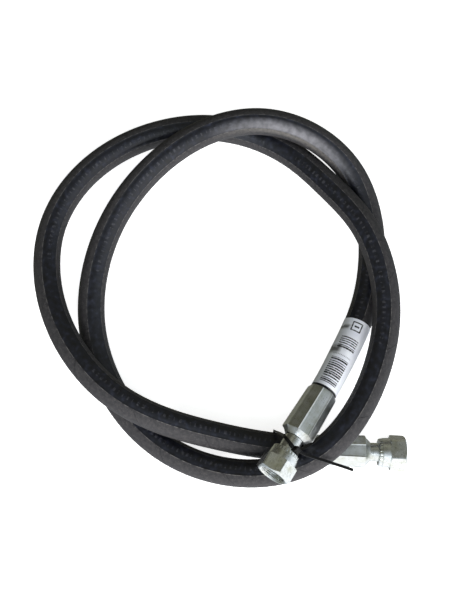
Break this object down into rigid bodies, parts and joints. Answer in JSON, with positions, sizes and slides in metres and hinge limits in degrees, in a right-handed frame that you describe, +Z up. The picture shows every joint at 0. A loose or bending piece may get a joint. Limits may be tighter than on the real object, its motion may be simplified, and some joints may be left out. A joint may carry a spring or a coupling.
{
  "type": "hydraulic hose assembly",
  "caption": "Black wire-braided rubber hydraulic hose lying in loose loops, with crimped ferrules, 24 degree cone fittings and free-turning swivel nuts on its ends, a label and a cable tie.",
  "frame": {"origin": "on the ground, under the middle of the assembly's bounding box", "axes": "+Z up. The hose lies in two flat loops in the XY plane, with both fittings towards -Y."},
  "size_m": [0.323, 0.3358, 0.0738],
  "materials": {
    "cover_rubber": "matte black, fabric-wrapped, with a smoother band along it",
    "inner_rubber": "smooth black",
    "braid_wire": "brass-coated wire braid",
    "zinc_plate": "zinc plated, faintly green-grey",
    "seal_rubber": "smooth black",
    "label_paper": "satin white, printed with black bars",
    "tie_nylon": "satin black"
  },
  "bodies": {
    "hose": {"inner_tube": "inner_rubber", "inner_wire_braid": "braid_wire", "braid_interlayer": "inner_rubber", "outer_wire_braid": "braid_wire", "hose_cover": "cover_rubber", "hose_label": "label_paper", "cable_tie": "tie_nylon", "ferrule_1": "zinc_plate", "ferrule_2": "zinc_plate", "insert_1": "zinc_plate", "insert_2": "zinc_plate", "o_ring_1": "seal_rubber", "o_ring_2": "seal_rubber"},
    "nut_1": {"swivel_nut_1": "zinc_plate"},
    "nut_2": {"swivel_nut_2": "zinc_plate"}
  },
  "joints": [
    {"name": "nut_1_spin", "type": "hinge", "parent": "hose", "child": "nut_1", "pos_m": [0.05141, -0.14765, 0.0567], "axis": [-0.5313, -0.8119, 0.2419], "continuous": true},
    {"name": "nut_2_spin", "type": "hinge", "parent": "hose", "child": "nut_2", "pos_m": [0.1493, -0.13888, 0.01575], "axis": [0.9985, -0.0453, 0.0297], "continuous": true}
  ]
}
